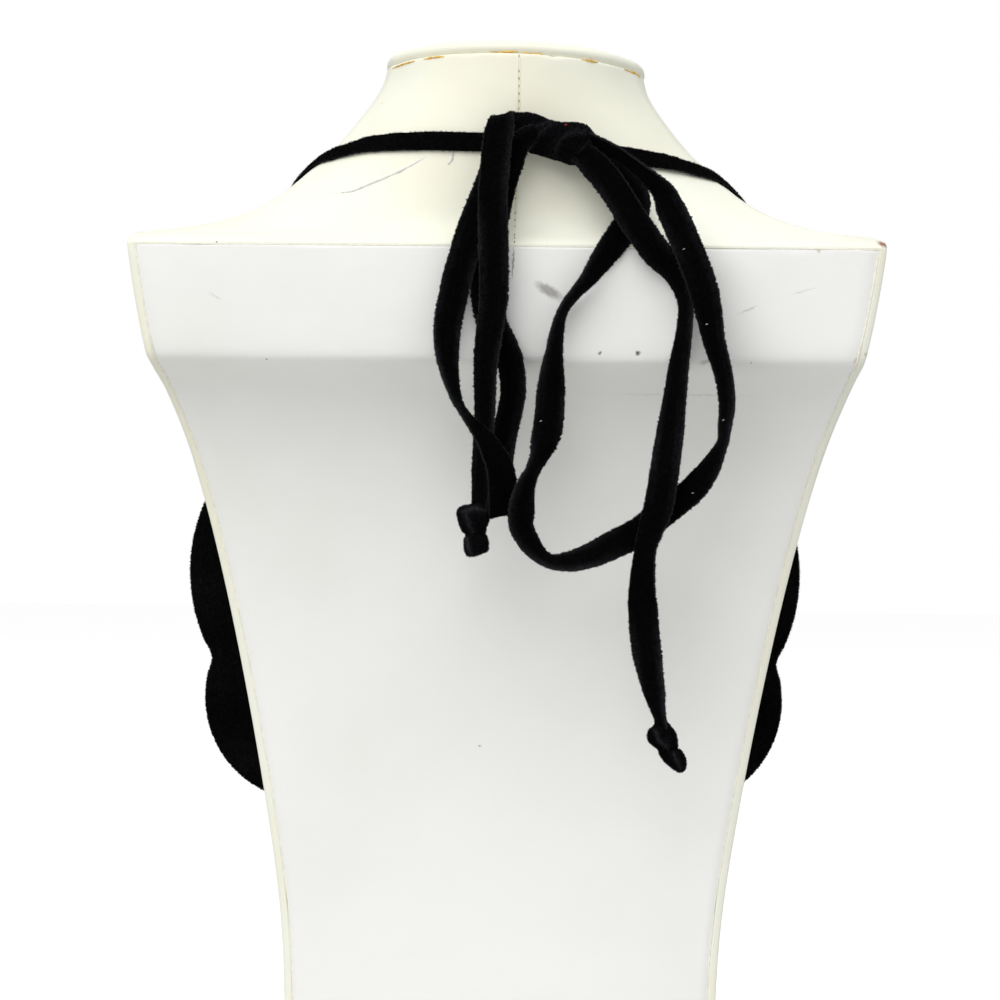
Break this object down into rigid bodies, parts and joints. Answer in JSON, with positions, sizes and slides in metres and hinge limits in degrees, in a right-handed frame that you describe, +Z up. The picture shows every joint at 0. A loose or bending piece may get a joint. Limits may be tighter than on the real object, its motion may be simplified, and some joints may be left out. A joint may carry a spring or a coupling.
{
  "type": "ribbon-tie bib necklace on a neck bust",
  "caption": "Black velvet bib necklace with scalloped lobes, tied in a bow at the nape with velvet ribbon, worn on a tall cream leatherette neck bust with a flat shoulder block and a capped neck",
  "frame": {"origin": "middle of the flat underside of the bust", "axes": "+Z up along the neck, +Y to the front of the bust where the bib hangs, +X to the right as seen from behind"},
  "size_m": [0.26, 0.1551, 0.3821],
  "materials": {
    "cream_leatherette": "smooth cream leatherette with a low sheen",
    "white_leatherette": "smooth white leatherette with a low sheen",
    "black_velvet": "black velvet with a short dense pile"
  },
  "bodies": {
    "root": {"bust_body": "cream_leatherette", "neck_cap": "cream_leatherette", "back_panel": "white_leatherette", "bib": "black_velvet", "left_neck_ribbon": "black_velvet", "right_neck_ribbon": "black_velvet", "bow_knot": "black_velvet", "left_loop": "black_velvet", "right_loop": "black_velvet", "left_tail": "black_velvet", "right_tail": "black_velvet", "left_end_knot": "black_velvet", "right_end_knot": "black_velvet"}
  },
  "joints": []
}
